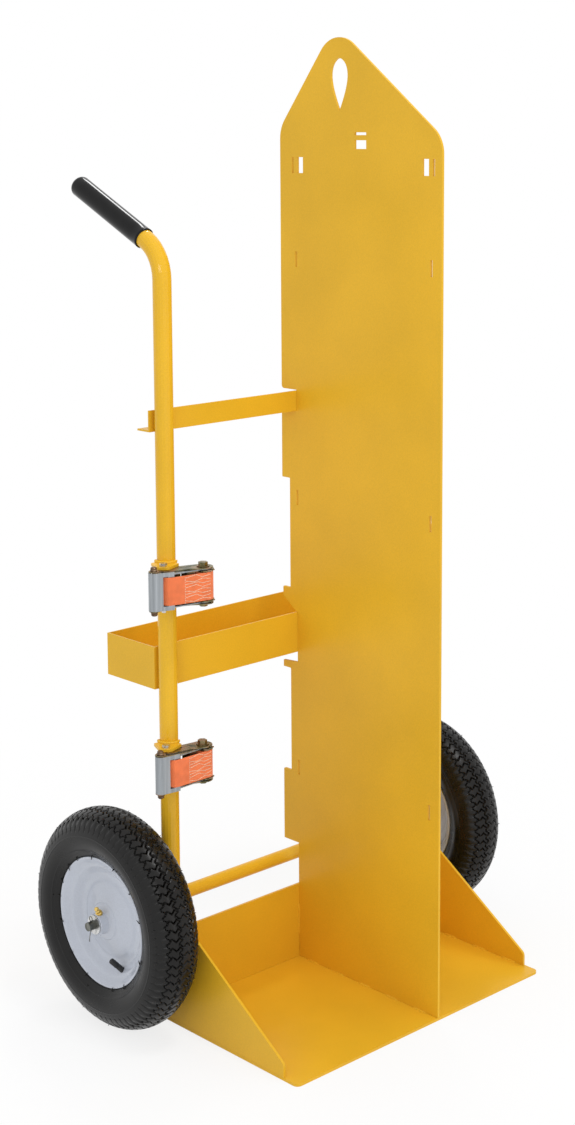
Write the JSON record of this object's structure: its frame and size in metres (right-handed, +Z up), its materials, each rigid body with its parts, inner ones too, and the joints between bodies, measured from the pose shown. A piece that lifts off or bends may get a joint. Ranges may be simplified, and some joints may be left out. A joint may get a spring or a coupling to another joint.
{
  "type": "gas cylinder torch cart",
  "caption": "Two-wheeled hand truck for gas cylinders: toe plate, tall steel divider with lifting eye, tool tray, bent handles, pneumatic wheels and strap ratchets.",
  "frame": {"origin": "on the floor, midway between the uprights, in the weld plane at the rear of the uprights", "axes": "+X to the cart's right seen from the front, the toe plate reaches along -Y, the handles lean along +Y, +Z up"},
  "size_m": [0.9205, 0.5969, 1.7565],
  "materials": {
    "safety_yellow_enamel": "gloss enamel",
    "black_vinyl": "gloss vinyl",
    "tyre": "matt rubber",
    "valve_rubber": "matt rubber",
    "rim_enamel": "satin enamel",
    "bright_steel": "bright",
    "zinc_plate": "bright zinc plate",
    "yellow_zinc": "yellow chromate plate",
    "orange_webbing": "woven polyester"
  },
  "bodies": {
    "frame": {"toe_plate": "safety_yellow_enamel", "back_wall": "safety_yellow_enamel", "fire_barrier": "safety_yellow_enamel", "top_bar": "safety_yellow_enamel", "tool_tray": "safety_yellow_enamel", "axle_tube": "safety_yellow_enamel", "axle": "bright_steel", "gusset_left": "safety_yellow_enamel", "upright_left": "safety_yellow_enamel", "grip_left": "black_vinyl", "axle_bracket_left": "safety_yellow_enamel", "axle_washer_left": "zinc_plate", "cotter_left": "zinc_plate", "gusset_right": "safety_yellow_enamel", "upright_right": "safety_yellow_enamel", "grip_right": "black_vinyl", "axle_bracket_right": "safety_yellow_enamel", "axle_washer_right": "zinc_plate", "cotter_right": "zinc_plate", "ratchet_tab_left_upper": "safety_yellow_enamel", "ratchet_tab_left_lower": "safety_yellow_enamel", "ratchet_tab_right_upper": "safety_yellow_enamel", "ratchet_tab_right_lower": "safety_yellow_enamel"},
    "wheel_left": {"tyre_left": "tyre", "rim_left": "rim_enamel", "roller_bearing_left": "bright_steel", "valve_stem_left": "valve_rubber"},
    "wheel_right": {"tyre_right": "tyre", "rim_right": "rim_enamel", "roller_bearing_right": "bright_steel", "valve_stem_right": "valve_rubber"},
    "ratchet_left_upper": {"ratchet_frame_left_upper": "yellow_zinc", "mount_bolt_left_upper": "zinc_plate"},
    "handle_left_upper": {"ratchet_handle_left_upper": "bright_steel", "strap_left_upper": "orange_webbing"},
    "spool_left_upper": {"spool_left_upper": "yellow_zinc"},
    "handle_pawl_left_upper": {"handle_pawl_left_upper": "yellow_zinc"},
    "lock_pawl_left_upper": {"lock_pawl_left_upper": "yellow_zinc"},
    "ratchet_left_lower": {"ratchet_frame_left_lower": "yellow_zinc", "mount_bolt_left_lower": "zinc_plate"},
    "handle_left_lower": {"ratchet_handle_left_lower": "bright_steel", "strap_left_lower": "orange_webbing"},
    "spool_left_lower": {"spool_left_lower": "yellow_zinc"},
    "handle_pawl_left_lower": {"handle_pawl_left_lower": "yellow_zinc"},
    "lock_pawl_left_lower": {"lock_pawl_left_lower": "yellow_zinc"},
    "ratchet_right_upper": {"ratchet_frame_right_upper": "yellow_zinc", "mount_bolt_right_upper": "zinc_plate"},
    "handle_right_upper": {"ratchet_handle_right_upper": "bright_steel", "strap_right_upper": "orange_webbing"},
    "spool_right_upper": {"spool_right_upper": "yellow_zinc"},
    "handle_pawl_right_upper": {"handle_pawl_right_upper": "yellow_zinc"},
    "lock_pawl_right_upper": {"lock_pawl_right_upper": "yellow_zinc"},
    "ratchet_right_lower": {"ratchet_frame_right_lower": "yellow_zinc", "mount_bolt_right_lower": "zinc_plate"},
    "handle_right_lower": {"ratchet_handle_right_lower": "bright_steel", "strap_right_lower": "orange_webbing"},
    "spool_right_lower": {"spool_right_lower": "yellow_zinc"},
    "handle_pawl_right_lower": {"handle_pawl_right_lower": "yellow_zinc"},
    "lock_pawl_right_lower": {"lock_pawl_right_lower": "yellow_zinc"}
  },
  "joints": [
    {"name": "wheel_left_spin", "type": "hinge", "parent": "frame", "child": "wheel_left", "pos_m": [-0.3867, 0.0343, 0.1996], "axis": [1, 0, 0], "continuous": true},
    {"name": "wheel_right_spin", "type": "hinge", "parent": "frame", "child": "wheel_right", "pos_m": [0.4072, 0.0343, 0.1996], "axis": [1, 0, 0], "continuous": true},
    {"name": "swivel_left_upper", "type": "hinge", "parent": "frame", "child": "ratchet_left_upper", "pos_m": [-0.3285, -0.044, 0.809], "axis": [0, 0, -1], "range_deg": [-19, 41]},
    {"name": "handle_hinge_left_upper", "type": "hinge", "parent": "ratchet_left_upper", "child": "handle_left_upper", "pos_m": [-0.26477, -0.07546, 0.809], "axis": [0, 0, 1], "range_deg": [0, 170]},
    {"name": "spool_turn_left_upper", "type": "hinge", "parent": "ratchet_left_upper", "child": "spool_left_upper", "pos_m": [-0.26477, -0.07546, 0.809], "axis": [0, 0, 1], "continuous": true},
    {"name": "handle_pawl_slide_left_upper", "type": "slide", "parent": "handle_left_upper", "child": "handle_pawl_left_upper", "axis": [-0.9455, 0.3256, 0], "range_m": [0, 0.0045], "stiffness_N_per_m": 400, "springref_m": -0.003},
    {"name": "lock_pawl_slide_left_upper", "type": "slide", "parent": "ratchet_left_upper", "child": "lock_pawl_left_upper", "axis": [-0.9455, 0.3256, 0], "range_m": [0, 0.0032], "stiffness_N_per_m": 400, "springref_m": -0.003},
    {"name": "swivel_left_lower", "type": "hinge", "parent": "frame", "child": "ratchet_left_lower", "pos_m": [-0.3285, -0.044, 0.482], "axis": [0, 0, -1], "range_deg": [-7, 53]},
    {"name": "handle_hinge_left_lower", "type": "hinge", "parent": "ratchet_left_lower", "child": "handle_left_lower", "pos_m": [-0.25962, -0.06152, 0.482], "axis": [0, 0, 1], "range_deg": [0, 170]},
    {"name": "spool_turn_left_lower", "type": "hinge", "parent": "ratchet_left_lower", "child": "spool_left_lower", "pos_m": [-0.25962, -0.06152, 0.482], "axis": [0, 0, 1], "continuous": true},
    {"name": "handle_pawl_slide_left_lower", "type": "slide", "parent": "handle_left_lower", "child": "handle_pawl_left_lower", "axis": [-0.9925, 0.1219, 0], "range_m": [0, 0.0045], "stiffness_N_per_m": 400, "springref_m": -0.003},
    {"name": "lock_pawl_slide_left_lower", "type": "slide", "parent": "ratchet_left_lower", "child": "lock_pawl_left_lower", "axis": [-0.9925, 0.1219, 0], "range_m": [0, 0.0032], "stiffness_N_per_m": 400, "springref_m": -0.003},
    {"name": "swivel_right_upper", "type": "hinge", "parent": "frame", "child": "ratchet_right_upper", "pos_m": [0.3285, -0.044, 0.809], "axis": [0, 0, 1], "range_deg": [-30, 30]},
    {"name": "handle_hinge_right_upper", "type": "hinge", "parent": "ratchet_right_upper", "child": "handle_right_upper", "pos_m": [0.27195, -0.08704, 0.809], "axis": [0, 0, -1], "range_deg": [0, 170]},
    {"name": "spool_turn_right_upper", "type": "hinge", "parent": "ratchet_right_upper", "child": "spool_right_upper", "pos_m": [0.27195, -0.08704, 0.809], "axis": [0, 0, -1], "continuous": true},
    {"name": "handle_pawl_slide_right_upper", "type": "slide", "parent": "handle_right_upper", "child": "handle_pawl_right_upper", "axis": [0.866, 0.5, 0], "range_m": [0, 0.0045], "stiffness_N_per_m": 400, "springref_m": -0.003},
    {"name": "lock_pawl_slide_right_upper", "type": "slide", "parent": "ratchet_right_upper", "child": "lock_pawl_right_upper", "axis": [0.866, 0.5, 0], "range_m": [0, 0.0032], "stiffness_N_per_m": 400, "springref_m": -0.003},
    {"name": "swivel_right_lower", "type": "hinge", "parent": "frame", "child": "ratchet_right_lower", "pos_m": [0.3285, -0.044, 0.54], "axis": [0, 0, 1], "range_deg": [-20, 40]},
    {"name": "handle_hinge_right_lower", "type": "hinge", "parent": "ratchet_right_lower", "child": "handle_right_lower", "pos_m": [0.26533, -0.07657, 0.54], "axis": [0, 0, -1], "range_deg": [0, 170]},
    {"name": "spool_turn_right_lower", "type": "hinge", "parent": "ratchet_right_lower", "child": "spool_right_lower", "pos_m": [0.26533, -0.07657, 0.54], "axis": [0, 0, -1], "continuous": true},
    {"name": "handle_pawl_slide_right_lower", "type": "slide", "parent": "handle_right_lower", "child": "handle_pawl_right_lower", "axis": [0.9397, 0.342, 0], "range_m": [0, 0.0045], "stiffness_N_per_m": 400, "springref_m": -0.003},
    {"name": "lock_pawl_slide_right_lower", "type": "slide", "parent": "ratchet_right_lower", "child": "lock_pawl_right_lower", "axis": [0.9397, 0.342, 0], "range_m": [0, 0.0032], "stiffness_N_per_m": 400, "springref_m": -0.003}
  ]
}
